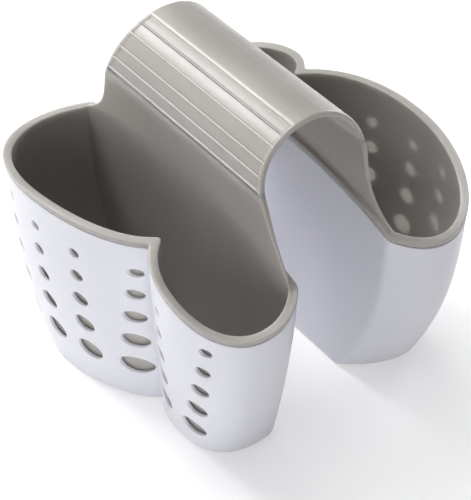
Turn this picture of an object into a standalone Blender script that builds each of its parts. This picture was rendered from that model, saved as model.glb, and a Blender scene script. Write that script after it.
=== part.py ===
"""Double sink caddy: one soft grey moulding hangs two pockets from a saddle.

The saddle is an arch that sits over a sink divider. Its two legs run down into two pocket
liners, and a rigid white perforated shell slips up around each liner, under its rim bead.
X runs across the saddle, Y along it and Z up. All lengths are in metres.
The left pocket is modelled, and the right one is the same pocket turned half a turn about Z.
"""

import math
from typing import NamedTuple

import bmesh
import bpy
import numpy as np


class Lobe(NamedTuple):
    """One rounded end of a pocket seen from above: an ellipse with unlike front and rear halves."""

    centre_x: float
    centre_y: float
    half_width: float
    rear_reach: float
    front_reach: float
    turn_degrees: float = 0.0
    exponent: float = 2.0


# Large lobe of the left pocket at its rim, on the shell's outer face
LARGE_RIM_CENTRE_X = -0.0425
LARGE_RIM_CENTRE_Y = 0.0305
LARGE_RIM_HALF_WIDTH = 0.0332
LARGE_RIM_REAR_REACH = 0.0490
LARGE_RIM_FRONT_REACH = 0.0572

# Small lobe at its rim
SMALL_RIM_CENTRE_X = -0.0395
SMALL_RIM_CENTRE_Y = -0.0440
SMALL_RIM_HALF_WIDTH = 0.0252
SMALL_RIM_REAR_REACH = 0.0275
SMALL_RIM_FRONT_REACH = 0.0300
SMALL_RIM_EXPONENT = 2.15

# Large lobe at its floor, where it is turned towards the divider
LARGE_FLOOR_CENTRE_X = -0.0325
LARGE_FLOOR_CENTRE_Y = 0.0115
LARGE_FLOOR_HALF_WIDTH = 0.0295
LARGE_FLOOR_REAR_REACH = 0.0525
LARGE_FLOOR_FRONT_REACH = 0.0290
LARGE_FLOOR_TURN_DEGREES = 30.0

# Small lobe at its floor
SMALL_FLOOR_CENTRE_X = -0.0295
SMALL_FLOOR_CENTRE_Y = -0.0320
SMALL_FLOOR_HALF_WIDTH = 0.0245
SMALL_FLOOR_REAR_REACH = 0.0255
SMALL_FLOOR_FRONT_REACH = 0.0250
SMALL_FLOOR_EXPONENT = 2.4

# Gap between the two pockets, and the corners of a pocket
SADDLE_GAP = 0.0420
REAR_CORNER_RADIUS = 0.0035
FRONT_CORNER_RADIUS_AT_RIM = 0.0035
FRONT_CORNER_RADIUS_AT_FLOOR = 0.0090
SMALLEST_CORNER_RADIUS = 0.0018
CORNER_TRIM_SHARE = 0.6
NOTCH_RADIUS = 0.0022
NOTCH_TRIM_SHARE = 0.9
OUTLINE_SAMPLES = 721

# Wall profile: an exponent of 1 is a straight wall, more bulges it out near the floor
LARGE_LOBE_BULGE = 2.6
NOTCH_BULGE = 1.4
SMALL_LOBE_BULGE = 1.7

# Rim height: an arched top edge, highest at the saddle and falling towards both ends
RIM_CREST_HEIGHT = 0.1082
RIM_CREST_Y = 0.0070
RIM_ARCH_RADIUS = 0.175
RIM_OUTWARD_FALL = 0.053
RIM_TWIST = 0.40
RIM_TWIST_CENTRE = 0.052

# Walls and fits
SHELL_WALL = 0.0018
SHELL_FLOOR = 0.0020
LINER_WALL = 0.0012
LINER_FLOOR = 0.0020
FIT_CLEARANCE = 0.0003
FLOOR_EDGE_RADIUS = 0.0010
BEAD_HEIGHT = 0.0025
BEAD_ROUNDING = 0.0009
BEAD_SQUARENESS = 3.0
BEAD_OVERHANG = 0.0002
BEAD_UNDERCUT = 0.0004
POCKET_WALL_DROP = 0.0024

# Saddle arch and legs
ARCH_BASE_HEIGHT = 0.1240
ARCH_RISE = 0.0220
STRAP_THICKNESS = 0.0024
STRAP_HALF_LENGTH_AT_CROWN = 0.0435
LARGE_END_FLARE = 0.0136
LARGE_END_FLARE_EXPONENT = 2.3
SMALL_END_FLARE = 0.0215
SMALL_END_FLARE_EXPONENT = 3.2
STRAP_ARCH_SHARE = 0.70
STRAP_LEG_LENGTH = 0.0300
LEG_FILLET_POWER = 4
STRAP_EDGE_ROUNDING = 0.0009
FLEX_GAP = 0.0006

# Grip grooves along the saddle, by their angle from the crown, and the plain end margin
GROOVE_PITCH_DEGREES = 13.0
LEFT_GROOVE_START_DEGREES = -12.9
LEFT_GROOVE_COUNT = 6
RIGHT_GROOVE_START_DEGREES = 51.9
RIGHT_GROOVE_COUNT = 3
GROOVE_WIDTH = 0.0016
GROOVE_DEPTH = 0.0005
GROOVE_END_MARGIN = 0.0026
GROOVE_RUN_OUT = 0.0008

# Side holes, drilled along X through the shell's outer wall in slanting columns
BOTTOM_HOLE_DIAMETER = 0.0112
HOLE_TAPER = 0.80
HOLE_ROWS = 5
BOTTOM_HOLE_HEIGHT = 0.0250
HOLE_WEB = 0.0080
HOLE_SIDES = 12
HOLE_REACH_OUT = 0.012
HOLE_REACH_IN = 0.009
NOTCH_COLUMN_DROP = 0.0040
END_COLUMN_DROP = 0.0060

# Drain holes through both floors
DRAIN_DIAMETER = 0.0060
DRAIN_RING_CENTRE_X = -0.0455
DRAIN_RING_CENTRE_Y = 0.0350
DRAIN_RING_RADIUS = 0.0110
DRAIN_RING_COUNT = 4
SMALL_DRAIN_X = -0.0354
SMALL_DRAIN_Y = -0.0320
DRAIN_SIDES = 10

# Mesh steps round a pocket, up its wall and over the arch
DIVIDER_STEPS = 6
CORNER_STEPS = 3
LARGE_LOBE_STEPS = 18
SMALL_LOBE_STEPS = 11
WALL_LEVELS = (0.0, 0.09, 0.21, 0.36, 0.55, 0.77, 1.0)
LEG_STEPS = 4
ARCH_STEP_DEGREES = 9.0


class HoleColumn(NamedTuple):
    """A column of side holes: its place along one lobe's wall and how far it sits lower."""

    lobe: str
    top_share: float
    bottom_share: float
    drop: float = 0.0


HOLE_COLUMNS = (
    HoleColumn("large", 0.485, 0.480),
    HoleColumn("large", 0.626, 0.618),
    HoleColumn("large", 0.780, 0.765),
    HoleColumn("large", 0.965, 0.930),
    HoleColumn("small", 0.160, 0.155, NOTCH_COLUMN_DROP),
    HoleColumn("small", 0.470, 0.420, END_COLUMN_DROP),
)

LARGE_RIM = Lobe(
    LARGE_RIM_CENTRE_X,
    LARGE_RIM_CENTRE_Y,
    LARGE_RIM_HALF_WIDTH,
    LARGE_RIM_REAR_REACH,
    LARGE_RIM_FRONT_REACH,
)
SMALL_RIM = Lobe(
    SMALL_RIM_CENTRE_X,
    SMALL_RIM_CENTRE_Y,
    SMALL_RIM_HALF_WIDTH,
    SMALL_RIM_REAR_REACH,
    SMALL_RIM_FRONT_REACH,
    exponent=SMALL_RIM_EXPONENT,
)
LARGE_FLOOR = Lobe(
    LARGE_FLOOR_CENTRE_X,
    LARGE_FLOOR_CENTRE_Y,
    LARGE_FLOOR_HALF_WIDTH,
    LARGE_FLOOR_REAR_REACH,
    LARGE_FLOOR_FRONT_REACH,
    turn_degrees=LARGE_FLOOR_TURN_DEGREES,
)
SMALL_FLOOR = Lobe(
    SMALL_FLOOR_CENTRE_X,
    SMALL_FLOOR_CENTRE_Y,
    SMALL_FLOOR_HALF_WIDTH,
    SMALL_FLOOR_REAR_REACH,
    SMALL_FLOOR_FRONT_REACH,
    exponent=SMALL_FLOOR_EXPONENT,
)

# Sizes that follow from the ones above
LINER_INSET = SHELL_WALL + FIT_CLEARANCE
POCKET_INSET = LINER_INSET + LINER_WALL
LINER_BOTTOM = SHELL_FLOOR + FIT_CLEARANCE
POCKET_FLOOR = LINER_BOTTOM + LINER_FLOOR
ARCH_INNER_HALF_WIDTH = SADDLE_GAP / 2 + LINER_INSET
ARCH_OUTER_HALF_WIDTH = ARCH_INNER_HALF_WIDTH + STRAP_THICKNESS
FLEX_AXIS_X = (ARCH_INNER_HALF_WIDTH + ARCH_OUTER_HALF_WIDTH) / 2

# Columns of the pocket's mesh: up the divider wall first, then round by the rear
DIVIDER_COLUMNS = DIVIDER_STEPS + 1
REAR_COLUMN = DIVIDER_STEPS
LARGE_START = REAR_COLUMN + CORNER_STEPS
NOTCH_START = LARGE_START + LARGE_LOBE_STEPS
SMALL_START = NOTCH_START + CORNER_STEPS
SMALL_END = SMALL_START + SMALL_LOBE_STEPS
COLUMN_COUNT = SMALL_END + CORNER_STEPS


def lobe_points(lobe, inset, angles):
    """Points of a lobe drawn in by inset: angle 0 is its rear end, a right angle its outer side."""
    cosine = np.cos(angles)
    sine = np.sin(angles)
    power = 2 / lobe.exponent
    reach = np.where(cosine >= 0, lobe.rear_reach, lobe.front_reach) - inset
    across = -(lobe.half_width - inset) * np.sign(sine) * np.abs(sine) ** power
    along = reach * np.sign(cosine) * np.abs(cosine) ** power
    turn = math.radians(lobe.turn_degrees)
    x = lobe.centre_x + math.cos(turn) * across - math.sin(turn) * along
    y = lobe.centre_y + math.sin(turn) * across + math.cos(turn) * along
    return np.stack([x, y], axis=-1)


def outside_lobe(lobe, inset, points):
    """Above zero outside the inset lobe, below zero inside it."""
    turn = math.radians(lobe.turn_degrees)
    dx = points[:, 0] - lobe.centre_x
    dy = points[:, 1] - lobe.centre_y
    across = math.cos(turn) * dx + math.sin(turn) * dy
    along = -math.sin(turn) * dx + math.cos(turn) * dy
    reach = np.where(along >= 0, lobe.rear_reach, lobe.front_reach) - inset
    width_share = np.abs(across) / (lobe.half_width - inset)
    return width_share**lobe.exponent + np.abs(along / reach) ** lobe.exponent - 1


def crossing(values, start, step):
    """Index, with its fraction, where values first change sign going from start by step."""
    index = start
    while values[index] * values[index + step] > 0:
        index += step
    share = values[index] / (values[index] - values[index + step])
    return index + step * share


def walk(line, start, end, count):
    """Points spread evenly by length along a polyline, between two lengths from its start."""
    steps = np.linalg.norm(np.diff(line, axis=0), axis=1)
    lengths = np.concatenate([[0.0], np.cumsum(steps)])
    wanted = np.linspace(start, lengths[-1] - end, count)
    return np.stack([np.interp(wanted, lengths, line[:, axis]) for axis in (0, 1)], axis=-1)


def rounded_corner(before, corner, after):
    """Inner points of a curve that rounds a corner between two points on its sides."""
    shares = np.linspace(0, 1, CORNER_STEPS + 1)[1:-1, None]
    return (1 - shares) ** 2 * before + 2 * shares * (1 - shares) * corner + shares**2 * after


def corner_trim(radius, inset):
    """Length that a corner's rounding takes from each of its two sides."""
    return CORNER_TRIM_SHARE * max(radius - inset, SMALLEST_CORNER_RADIUS)


def pocket_outline(large, small, front_radius, inset):
    """Closed outline of the pocket, one point for each mesh column, drawn in by inset."""
    divider_x = -(SADDLE_GAP / 2 + inset)
    angles = np.linspace(-math.pi / 2, 1.5 * math.pi, OUTLINE_SAMPLES)
    large_line = lobe_points(large, inset, angles)
    small_line = lobe_points(small, inset, angles)
    side_index = int(np.searchsorted(angles, math.pi / 2))
    rear_at = crossing(large_line[:, 0] - divider_x, side_index, -1)
    notch_at = crossing(outside_lobe(small, inset, large_line), side_index, 1)
    notch_out_at = crossing(outside_lobe(large, inset, small_line), side_index, -1)
    front_at = crossing(small_line[:, 0] - divider_x, side_index, 1)

    def cut(line, lobe, first, last):
        marks = np.arange(math.ceil(first), math.floor(last) + 1)
        marks = np.concatenate([[first], marks[(marks > first) & (marks < last)], [last]])
        return lobe_points(lobe, inset, np.interp(marks, np.arange(len(angles)), angles))

    large_wall = cut(large_line, large, rear_at, notch_at)
    small_wall = cut(small_line, small, notch_out_at, front_at)
    rear_corner = large_wall[0]
    notch_corner = (large_wall[-1] + small_wall[0]) / 2
    front_corner = small_wall[-1]
    rear_trim = corner_trim(REAR_CORNER_RADIUS, inset)
    front_trim = corner_trim(front_radius, inset)
    notch_trim = NOTCH_TRIM_SHARE * (NOTCH_RADIUS + inset / 2)
    divider = walk(np.array([front_corner, rear_corner]), front_trim, rear_trim, DIVIDER_COLUMNS)
    large_part = walk(large_wall, rear_trim, notch_trim, LARGE_LOBE_STEPS + 1)
    small_part = walk(small_wall, notch_trim, front_trim, SMALL_LOBE_STEPS + 1)
    return np.concatenate([
        divider,
        rounded_corner(divider[-1], rear_corner, large_part[0]),
        large_part,
        rounded_corner(large_part[-1], notch_corner, small_part[0]),
        small_part,
        rounded_corner(small_part[-1], front_corner, divider[0]),
    ])


def floor_outline(inset):
    return pocket_outline(LARGE_FLOOR, SMALL_FLOOR, FRONT_CORNER_RADIUS_AT_FLOOR, inset)


def rim_outline(inset):
    return pocket_outline(LARGE_RIM, SMALL_RIM, FRONT_CORNER_RADIUS_AT_RIM, inset)


def rim_height(x, y):
    """Height of the rim bead's top above the floor at a point of the outline."""
    away = -x - SADDLE_GAP / 2
    arch_drop = (y - RIM_CREST_Y) ** 2 / (2 * RIM_ARCH_RADIUS)
    twist = (away - RIM_TWIST_CENTRE) * RIM_TWIST * y
    return RIM_CREST_HEIGHT - arch_drop - away * RIM_OUTWARD_FALL + twist


OUTER_RIM = rim_outline(0.0)
RIM_HEIGHTS = rim_height(OUTER_RIM[:, 0], OUTER_RIM[:, 1])
BULGES = np.interp(
    np.arange(COLUMN_COUNT),
    [0, REAR_COLUMN, (LARGE_START + NOTCH_START) / 2, NOTCH_START, SMALL_START + 2, COLUMN_COUNT],
    [SMALL_LOBE_BULGE, LARGE_LOBE_BULGE, LARGE_LOBE_BULGE, NOTCH_BULGE, SMALL_LOBE_BULGE,
     SMALL_LOBE_BULGE],
)


def wall_ring(inset, heights):
    """Ring of points on the pocket wall, drawn in by inset, at one height for each column."""
    floor_line = floor_outline(inset)
    rim_line = rim_outline(inset)
    share = np.clip(heights / RIM_HEIGHTS, 0, 1)
    weight = 1 - (1 - share) ** BULGES
    level = floor_line + (rim_line - floor_line) * weight[:, None]
    return np.column_stack([level, np.broadcast_to(heights, COLUMN_COUNT)])


def wall_rings(inset, bottom, top_drop):
    """Rings from the bottom up to a drop below the rim."""
    tops = RIM_HEIGHTS - top_drop
    return [wall_ring(inset, bottom + (tops - bottom) * level) for level in WALL_LEVELS]


def add_ring(mesh, points):
    return [mesh.verts.new(point) for point in points]


def join_rings(mesh, lower, upper, skipped=()):
    """Faces between two closed rings, leaving out the skipped columns."""
    for column in range(len(lower)):
        if column not in skipped:
            after = (column + 1) % len(lower)
            mesh.faces.new([lower[column], lower[after], upper[after], upper[column]])


def finished_object(name, mesh, material, smooth_degrees=35.0):
    """Turn the mesh's faces outward and make it an object."""
    bmesh.ops.recalc_face_normals(mesh, faces=mesh.faces)
    data = bpy.data.meshes.new(name)
    mesh.to_mesh(data)
    mesh.free()
    data.materials.append(material)
    data.shade_smooth()
    data.set_sharp_from_angle(angle=math.radians(smooth_degrees))
    part = bpy.data.objects.new(name, data)
    bpy.context.scene.collection.objects.link(part)
    return part


def plastic(name, colour, roughness):
    material = bpy.data.materials.new(name)
    material.use_nodes = True
    shader = material.node_tree.nodes["Principled BSDF"]
    shader.inputs["Base Color"].default_value = (*colour, 1.0)
    shader.inputs["Roughness"].default_value = roughness
    shader.inputs["Metallic"].default_value = 0.0
    return material


def shell_object(name, material):
    """Rigid outer cup, open at the top, before its holes are cut."""
    mesh = bmesh.new()
    top_drop = BEAD_HEIGHT + BEAD_UNDERCUT
    foot = add_ring(mesh, wall_ring(FLOOR_EDGE_RADIUS, np.zeros(COLUMN_COUNT)))
    rings = [foot]
    rings += [add_ring(mesh, ring) for ring in wall_rings(0.0, FLOOR_EDGE_RADIUS, top_drop)]
    inner = [add_ring(mesh, ring) for ring in wall_rings(SHELL_WALL, SHELL_FLOOR, top_drop)]
    rings += reversed(inner)
    for lower, upper in zip(rings, rings[1:]):
        join_rings(mesh, lower, upper)
    mesh.faces.new(foot)
    mesh.faces.new(inner[0])
    return finished_object(name, mesh, material)


def bead_rows():
    """Profile of the rim bead: inset and drop below the rim, from its foot over its flat top."""
    middle = (POCKET_INSET - BEAD_OVERHANG) / 2
    half_width = (POCKET_INSET + BEAD_OVERHANG) / 2
    power = 2 / BEAD_SQUARENESS
    rows = [(-BEAD_OVERHANG, BEAD_HEIGHT)]
    for angle in np.radians((0, 50, 90, 130, 180)):
        cosine = math.cos(angle)
        inset = middle - half_width * math.copysign(abs(cosine) ** power, cosine)
        rows.append((inset, BEAD_ROUNDING * (1 - abs(math.sin(angle)) ** power)))
    return rows


def strap_half_length(place, large_end):
    """Distance of the saddle's edge from X, 0 for place being the crown and 1 the leg's foot."""
    large = LARGE_END_FLARE * place**LARGE_END_FLARE_EXPONENT
    small = SMALL_END_FLARE * place**SMALL_END_FLARE_EXPONENT
    return STRAP_HALF_LENGTH_AT_CROWN + np.where(large_end, large, small)


def leg_levels(bottom_points, top_x):
    """Rows of points up one face of the leg, above the divider columns of its bottom ring."""
    top = ARCH_BASE_HEIGHT - FLEX_GAP / 2
    shares = np.linspace(-1, 1, DIVIDER_COLUMNS)

    def level_y(height):
        leg_share = (ARCH_BASE_HEIGHT - height) / STRAP_LEG_LENGTH
        place = STRAP_ARCH_SHARE + (1 - STRAP_ARCH_SHARE) * leg_share
        return shares * (strap_half_length(place, shares > 0) - STRAP_EDGE_ROUNDING)

    start_miss = bottom_points[:, 1] - level_y(bottom_points[:, 2])
    rows = []
    for step in range(1, LEG_STEPS + 1):
        climb = step / LEG_STEPS
        height = bottom_points[:, 2] + (top - bottom_points[:, 2]) * climb
        y = level_y(height) + start_miss * (1 - climb) ** LEG_FILLET_POWER
        x = bottom_points[:, 0] + (top_x - bottom_points[:, 0]) * climb
        rows.append(np.column_stack([x, y, height]))
    return rows


def add_leg(mesh, gap_ring, edge_ring, pocket_ring):
    """Leg of the saddle, rising from the divider columns of the bead's last three rings."""
    columns = range(DIVIDER_COLUMNS)
    gap_bottom = np.array([gap_ring[column].co for column in columns])
    pocket_bottom = np.array([pocket_ring[column].co for column in columns])
    gap_rows = leg_levels(gap_bottom, -ARCH_INNER_HALF_WIDTH)
    pocket_rows = leg_levels(pocket_bottom, -ARCH_OUTER_HALF_WIDTH)
    gap_side = [gap_ring[:DIVIDER_COLUMNS]]
    pocket_side = [pocket_ring[:DIVIDER_COLUMNS]]
    front_edge = [edge_ring[0]]
    rear_edge = [edge_ring[REAR_COLUMN]]
    for gap_points, pocket_points in zip(gap_rows, pocket_rows):
        gap_side.append(add_ring(mesh, gap_points))
        pocket_side.append(add_ring(mesh, pocket_points))
        outward = np.array([0, STRAP_EDGE_ROUNDING, 0])
        front_edge.append(mesh.verts.new((gap_points[0] + pocket_points[0]) / 2 - outward))
        rear_edge.append(mesh.verts.new((gap_points[-1] + pocket_points[-1]) / 2 + outward))
    for step in range(LEG_STEPS):
        for side in (gap_side, pocket_side):
            for column in range(DIVIDER_STEPS):
                lower = side[step][column:column + 2]
                upper = side[step + 1][column:column + 2]
                mesh.faces.new([lower[0], lower[1], upper[1], upper[0]])
            for edge, end in ((front_edge, 0), (rear_edge, DIVIDER_STEPS)):
                mesh.faces.new([side[step][end], side[step + 1][end], edge[step + 1], edge[step]])
    gap_top = gap_side[-1]
    pocket_top = pocket_side[-1]
    mesh.faces.new([front_edge[-1], *gap_top, rear_edge[-1], *reversed(pocket_top)])


def liner_object(name, material):
    """Soft cup inside the shell, with its rim bead and the saddle's leg on the divider wall."""
    mesh = bmesh.new()
    foot_heights = np.full(COLUMN_COUNT, LINER_BOTTOM)
    foot = add_ring(mesh, wall_ring(LINER_INSET + FLOOR_EDGE_RADIUS, foot_heights))
    skin_bottom = LINER_BOTTOM + FLOOR_EDGE_RADIUS
    rings = [foot]
    rings += [add_ring(mesh, ring) for ring in wall_rings(LINER_INSET, skin_bottom, BEAD_HEIGHT)]
    bead_rings = [wall_ring(inset, RIM_HEIGHTS - drop) for inset, drop in bead_rows()]
    leg_start = wall_ring(LINER_INSET, RIM_HEIGHTS)
    bead_rings[3][:DIVIDER_COLUMNS] = leg_start[:DIVIDER_COLUMNS]
    bead = [add_ring(mesh, ring) for ring in bead_rings]
    gap_ring, edge_ring, pocket_ring = bead[3:6]
    for column in range(1, REAR_COLUMN):
        mesh.verts.remove(edge_ring[column])
    rings += bead[:4]
    for lower, upper in zip(rings, rings[1:]):
        join_rings(mesh, lower, upper)
    divider_steps = range(DIVIDER_STEPS)
    join_rings(mesh, gap_ring, edge_ring, skipped=divider_steps)
    join_rings(mesh, edge_ring, pocket_ring, skipped=divider_steps)
    add_leg(mesh, gap_ring, edge_ring, pocket_ring)
    inner_levels = wall_rings(POCKET_INSET, POCKET_FLOOR, POCKET_WALL_DROP)
    inner = [add_ring(mesh, ring) for ring in inner_levels]
    rings = [pocket_ring] + inner[::-1]
    for lower, upper in zip(rings, rings[1:]):
        join_rings(mesh, lower, upper)
    mesh.faces.new(foot)
    mesh.faces.new(inner[0])
    return finished_object(name, mesh, material)


def arch_angles():
    """Angles of the arch's section, with three for each groove, and the depth at each of them."""
    left = [LEFT_GROOVE_START_DEGREES - GROOVE_PITCH_DEGREES * i for i in range(LEFT_GROOVE_COUNT)]
    right = [
        RIGHT_GROOVE_START_DEGREES + GROOVE_PITCH_DEGREES * i for i in range(RIGHT_GROOVE_COUNT)
    ]
    half_groove = math.degrees(GROOVE_WIDTH / 2 / ARCH_OUTER_HALF_WIDTH)
    depths = {}
    for centre in left + right:
        depths[centre - half_groove] = 0.0
        depths[centre] = GROOVE_DEPTH
        depths[centre + half_groove] = 0.0
    for plain in np.linspace(-90, 90, round(180 / ARCH_STEP_DEGREES) + 1):
        if min(abs(plain - groove) for groove in left + right) > 2 * half_groove:
            depths[float(plain)] = 0.0
    angles = sorted(depths)
    return np.radians(angles), np.array([depths[angle] for angle in angles])


def arch_row(angles, edge_inset, side, thickness_share, depths):
    """Row of points over the arch, at a distance in from its front (-1) or rear (+1) edge."""
    offset = STRAP_THICKNESS * thickness_share - depths
    place = STRAP_ARCH_SHARE * np.abs(angles) / (math.pi / 2)
    half_length = strap_half_length(place, side * angles < 0)
    x = (ARCH_INNER_HALF_WIDTH + offset) * np.sin(angles)
    y = side * (half_length - edge_inset)
    z = ARCH_BASE_HEIGHT + FLEX_GAP / 2 + (ARCH_RISE + offset) * np.cos(angles)
    return np.column_stack([x, y, z])


def crown_object(name, material):
    """Arch of the saddle, between the two lines where it flexes."""
    angles, depths = arch_angles()
    plain = np.zeros(len(angles))
    profile = [
        (STRAP_EDGE_ROUNDING, 0.0, plain),
        (0.0, 0.5, plain),
        (STRAP_EDGE_ROUNDING, 1.0, plain),
        (GROOVE_END_MARGIN - GROOVE_RUN_OUT, 1.0, plain),
        (GROOVE_END_MARGIN, 1.0, depths),
    ]
    rows = [arch_row(angles, inset, -1, share, cut) for inset, share, cut in profile]
    rows += [arch_row(angles, inset, 1, share, cut) for inset, share, cut in reversed(profile)]
    mesh = bmesh.new()
    rings = [add_ring(mesh, row) for row in rows]
    for ring, after in zip(rings, rings[1:] + rings[:1]):
        for step in range(len(angles) - 1):
            mesh.faces.new([ring[step], ring[step + 1], after[step + 1], after[step]])
    mesh.faces.new([ring[0] for ring in rings])
    mesh.faces.new([ring[-1] for ring in rings])
    return finished_object(name, mesh, material)


def hole_rows():
    """Height and diameter of each row of side holes, from the lowest up."""
    rows = []
    height = BOTTOM_HOLE_HEIGHT
    diameter = BOTTOM_HOLE_DIAMETER
    for _ in range(HOLE_ROWS):
        rows.append((height, diameter))
        smaller = diameter * HOLE_TAPER
        height += (diameter + smaller) / 2 + HOLE_WEB
        diameter = smaller
    return rows


def wall_point(lobe, wall_share, height):
    """Point on the shell's outer face, by its share of the way along one lobe's wall."""
    ring = wall_ring(0.0, np.full(COLUMN_COUNT, height))
    first, last = (LARGE_START, NOTCH_START) if lobe == "large" else (SMALL_START, SMALL_END)
    column = first + (last - first) * wall_share
    return [np.interp(column, np.arange(COLUMN_COUNT), ring[:, axis]) for axis in range(3)]


def cutter_object(name, mesh):
    """Hidden object that cuts holes in the pieces it is set on."""
    data = bpy.data.meshes.new(name)
    mesh.to_mesh(data)
    mesh.free()
    cutter = bpy.data.objects.new(name, data)
    bpy.context.scene.collection.objects.link(cutter)
    cutter.hide_render = True
    cutter.display_type = "WIRE"
    return cutter


def add_cylinder(mesh, centre, radius, length, sides, along_x):
    """Closed cylinder in a cutter's mesh, standing up or lying along X."""
    made = bmesh.ops.create_cone(
        mesh, cap_ends=True, segments=sides, radius1=radius, radius2=radius, depth=length
    )
    for vertex in made["verts"]:
        x, y, z = vertex.co
        vertex.co = (z, y, -x) if along_x else (x, y, z)
        vertex.co.x += centre[0]
        vertex.co.y += centre[1]
        vertex.co.z += centre[2]


def side_hole_cutter(name):
    mesh = bmesh.new()
    length = HOLE_REACH_IN + HOLE_REACH_OUT
    for column in HOLE_COLUMNS:
        shares = np.linspace(column.bottom_share, column.top_share, HOLE_ROWS)
        for (height, diameter), share in zip(hole_rows(), shares):
            x, y, z = wall_point(column.lobe, share, height - column.drop)
            middle = x + (HOLE_REACH_IN - HOLE_REACH_OUT) / 2
            add_cylinder(mesh, (middle, y, z), diameter / 2, length, HOLE_SIDES, along_x=True)
    return cutter_object(name, mesh)


def drain_cutter(name):
    """A ring of drain holes under the large lobe and one hole under the small lobe."""
    mesh = bmesh.new()
    places = [(SMALL_DRAIN_X, SMALL_DRAIN_Y)]
    for number in range(DRAIN_RING_COUNT):
        angle = 2 * math.pi * (number + 0.5) / DRAIN_RING_COUNT
        x = DRAIN_RING_CENTRE_X + DRAIN_RING_RADIUS * math.cos(angle)
        y = DRAIN_RING_CENTRE_Y + DRAIN_RING_RADIUS * math.sin(angle)
        places.append((x, y))
    length = 2 * POCKET_FLOOR
    for x, y in places:
        centre = (x, y, POCKET_FLOOR / 2)
        add_cylinder(mesh, centre, DRAIN_DIAMETER / 2, length, DRAIN_SIDES, along_x=False)
    return cutter_object(name, mesh)


def cut_with(part, cutter):
    modifier = part.modifiers.new(cutter.name, "BOOLEAN")
    modifier.operation = "DIFFERENCE"
    modifier.solver = "EXACT"
    modifier.object = cutter


def flex_axis(name, x):
    """Empty on the line where one pocket swings on the saddle."""
    axis = bpy.data.objects.new(name, None)
    axis.location = (x, 0, ARCH_BASE_HEIGHT)
    bpy.context.scene.collection.objects.link(axis)
    return axis


def hang_on(axis, part):
    """Parent a piece to its flex axis and leave it where it was modelled."""
    part.parent = axis
    part.matrix_parent_inverse.identity()
    part.location = -axis.location


def pocket_pieces(side, white, grey):
    """Liner and shell of one pocket, modelled on the left."""
    liner = liner_object(f"{side}_liner", grey)
    shell = shell_object(f"{side}_shell", white)
    drains = drain_cutter(f"{side}_drain_cutter")
    holes = side_hole_cutter(f"{side}_hole_cutter")
    cut_with(liner, drains)
    cut_with(shell, drains)
    cut_with(shell, holes)
    return [liner, shell, drains, holes]


def build():
    for old in list(bpy.data.objects):
        bpy.data.objects.remove(old, do_unlink=True)
    white = plastic("white_polypropylene", (0.82, 0.82, 0.87), 0.32)
    grey = plastic("grey_elastomer", (0.36, 0.34, 0.325), 0.42)
    crown_object("saddle_crown", grey)
    left_axis = flex_axis("left_flex_axis", -FLEX_AXIS_X)
    for piece in pocket_pieces("left", white, grey):
        hang_on(left_axis, piece)
    right_axis = flex_axis("right_flex_axis", FLEX_AXIS_X)
    for piece in pocket_pieces("right", white, grey):
        hang_on(right_axis, piece)
        piece.rotation_euler.z = math.pi


build()
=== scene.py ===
"""Double sink caddy: two white perforated cups hang from one soft grey ribbed saddle."""
import math

import bmesh
import bpy
import numpy as np
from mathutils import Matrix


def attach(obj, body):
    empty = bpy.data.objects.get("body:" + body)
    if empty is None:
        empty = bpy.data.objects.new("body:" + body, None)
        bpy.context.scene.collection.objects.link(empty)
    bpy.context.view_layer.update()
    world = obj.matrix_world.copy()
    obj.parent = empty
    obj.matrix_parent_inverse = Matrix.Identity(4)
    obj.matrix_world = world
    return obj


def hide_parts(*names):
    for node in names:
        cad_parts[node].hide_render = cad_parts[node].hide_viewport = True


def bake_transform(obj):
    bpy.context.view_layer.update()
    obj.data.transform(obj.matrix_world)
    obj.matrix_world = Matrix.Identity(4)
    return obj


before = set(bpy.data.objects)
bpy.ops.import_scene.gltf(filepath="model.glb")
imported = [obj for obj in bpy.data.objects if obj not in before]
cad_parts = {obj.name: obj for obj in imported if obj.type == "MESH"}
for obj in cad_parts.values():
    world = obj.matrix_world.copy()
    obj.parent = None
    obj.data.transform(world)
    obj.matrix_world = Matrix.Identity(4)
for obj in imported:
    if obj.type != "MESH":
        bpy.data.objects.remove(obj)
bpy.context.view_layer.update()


# White cups
# Each pocket has a rigid outer cup, injection moulded in white polypropylene with slanting columns
# of round drain holes whose edges are softly rounded. It is pushed up around the grey liner.

# Lobes of the left pocket: centre x and y, half width, rear reach, front reach, turn, exponent
RIM_LARGE = (-0.0425, 0.0305, 0.0332, 0.0490, 0.0572, 0.0, 2.0)
RIM_SMALL = (-0.0395, -0.0440, 0.0252, 0.0275, 0.0300, 0.0, 2.15)
FLOOR_LARGE = (-0.0325, 0.0115, 0.0295, 0.0525, 0.0290, 30.0, 2.0)
FLOOR_SMALL = (-0.0295, -0.0320, 0.0245, 0.0255, 0.0250, 0.0, 2.4)
GAP_HALF_WIDTH = 0.021
CORNER_RADIUS = 0.0035
FRONT_FLOOR_CORNER_RADIUS = 0.0090
SMALLEST_CORNER_RADIUS = 0.0018
CORNER_TRIM = 0.6
NOTCH_RADIUS = 0.0022
NOTCH_TRIM = 0.9
RIM_CREST = 0.1082
RIM_CREST_Y = 0.0070
RIM_ARCH_RADIUS = 0.175
RIM_FALL = 0.053
RIM_TWIST = 0.40
RIM_TWIST_CENTRE = 0.052
LARGE_BULGE = 2.6
NOTCH_BULGE = 1.4
NOTCH_BULGE_FADE = 2 / 11
SMALL_BULGE = 1.7

CUP_WALL = 0.0018
CUP_FLOOR = 0.0020
FLOOR_LEVEL_SLACK = 0.0002
CUP_TOP_DROP = 0.0029
CUP_FOOT_RADIUS = 0.0016
CUP_FOOT_TURNS = (90, 67.5, 45, 22.5)
CUP_LIP_RADIUS = 0.0004
# The lip's rows: turn over its rounded edge in degrees, and 0 outside or 1 inside
CUP_LIP_TURNS = ((30, 0), (60, 0), (90, 0), (90, 1), (60, 1), (30, 1))
CUP_ROWS = 84
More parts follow.
